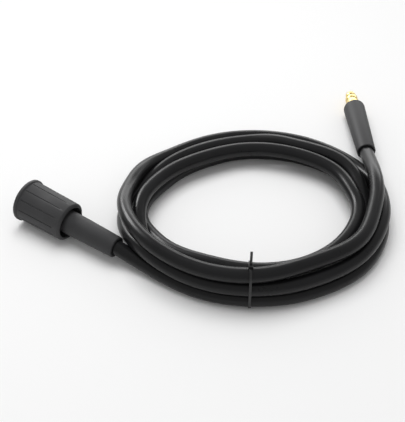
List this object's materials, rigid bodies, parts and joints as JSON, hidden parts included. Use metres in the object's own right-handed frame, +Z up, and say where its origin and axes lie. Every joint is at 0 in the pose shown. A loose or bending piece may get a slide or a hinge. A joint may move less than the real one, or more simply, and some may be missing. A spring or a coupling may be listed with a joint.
{
  "type": "extension hose",
  "caption": "Coiled and tied black rubber extension hose with a pull-collar quick coupling on one end and a sleeved brass plug-in nipple on the other.",
  "frame": {"origin": "on the floor under the middle of the whole part's box", "axes": "+Z up from the floor the coil lies on; +X along the coupling's axis seen from above, from its mouth towards the hose; the nipple end is at +Y"},
  "size_m": [0.2664, 0.3072, 0.0544],
  "materials": {
    "hose_rubber": "semi-gloss",
    "collar_plastic": "fine matte",
    "socket_plastic": "satin",
    "sleeve_rubber": "matte",
    "brass": "turned, bright",
    "tie_nylon": "smooth"
  },
  "bodies": {
    "hose": {"hose_coil": "hose_rubber", "hose_lead": "hose_rubber", "hose_tail": "hose_rubber", "coupling_socket": "socket_plastic", "coupling_sleeve": "sleeve_rubber", "nipple_sleeve": "sleeve_rubber", "brass_nipple": "brass", "cable_tie": "tie_nylon"},
    "collar": {"coupling_collar": "collar_plastic"}
  },
  "joints": [
    {"name": "collar_pull", "type": "slide", "parent": "hose", "child": "collar", "axis": [0.999, 0, -0.0439], "range_m": [0, 0.005], "stiffness_N_per_m": 150}
  ]
}
